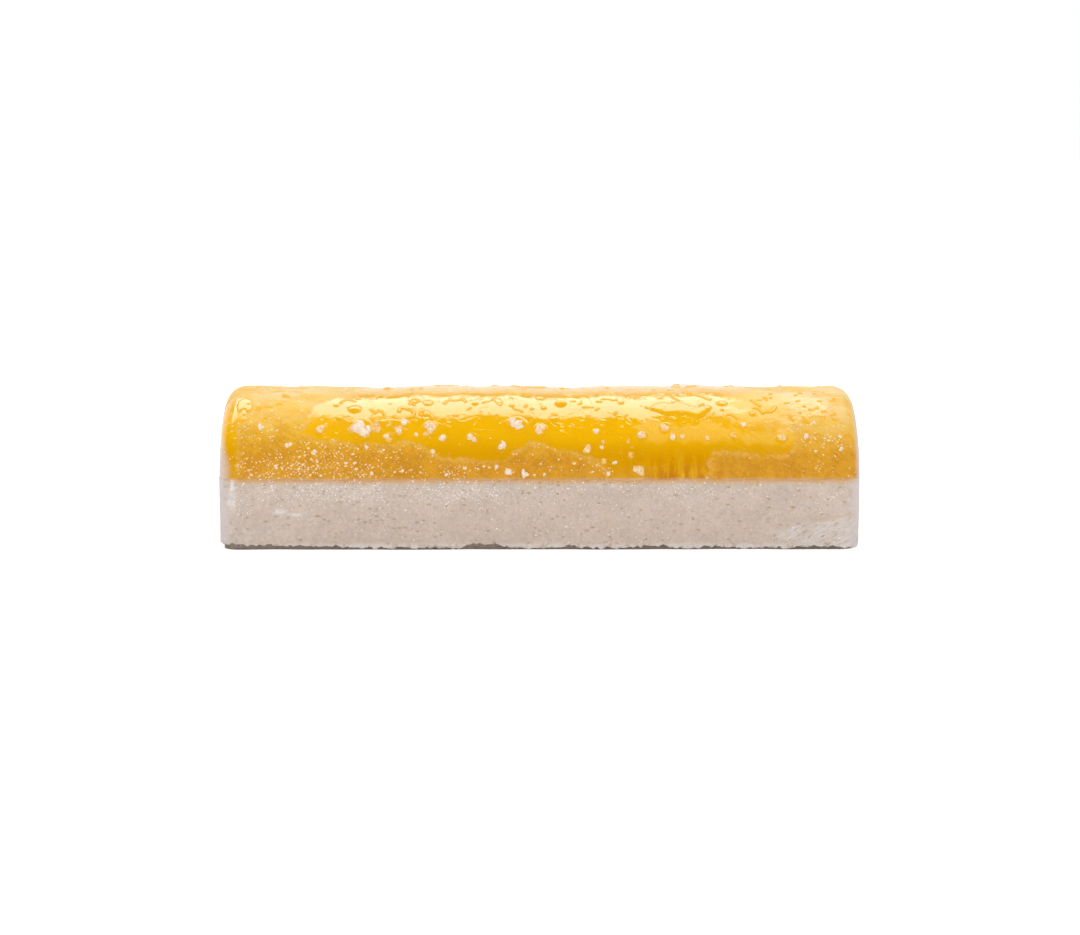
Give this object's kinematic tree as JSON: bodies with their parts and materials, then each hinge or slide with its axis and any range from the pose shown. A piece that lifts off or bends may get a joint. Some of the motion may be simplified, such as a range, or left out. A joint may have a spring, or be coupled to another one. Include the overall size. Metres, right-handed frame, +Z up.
{
  "type": "ice cream log",
  "caption": "Domed ice cream log of cream ice under a glossy fruit ice layer, with grains of frost and drops of melt, standing on its flat base.",
  "frame": {"origin": "middle of the flat base that the log stands on", "axes": "+X along the log to its right end as seen from the front, +Y from the front to the back, +Z up"},
  "size_m": [0.25, 0.075, 0.06],
  "materials": {
    "cream_ice": "frozen cream, softly rough with small pores and frost",
    "fruit_ice": "wet and glossy golden yellow, frosted in places",
    "frost": "white, slightly clear grains of ice"
  },
  "bodies": {
    "root": {"cream_layer": "cream_ice", "fruit_layer": "fruit_ice"}
  },
  "joints": []
}
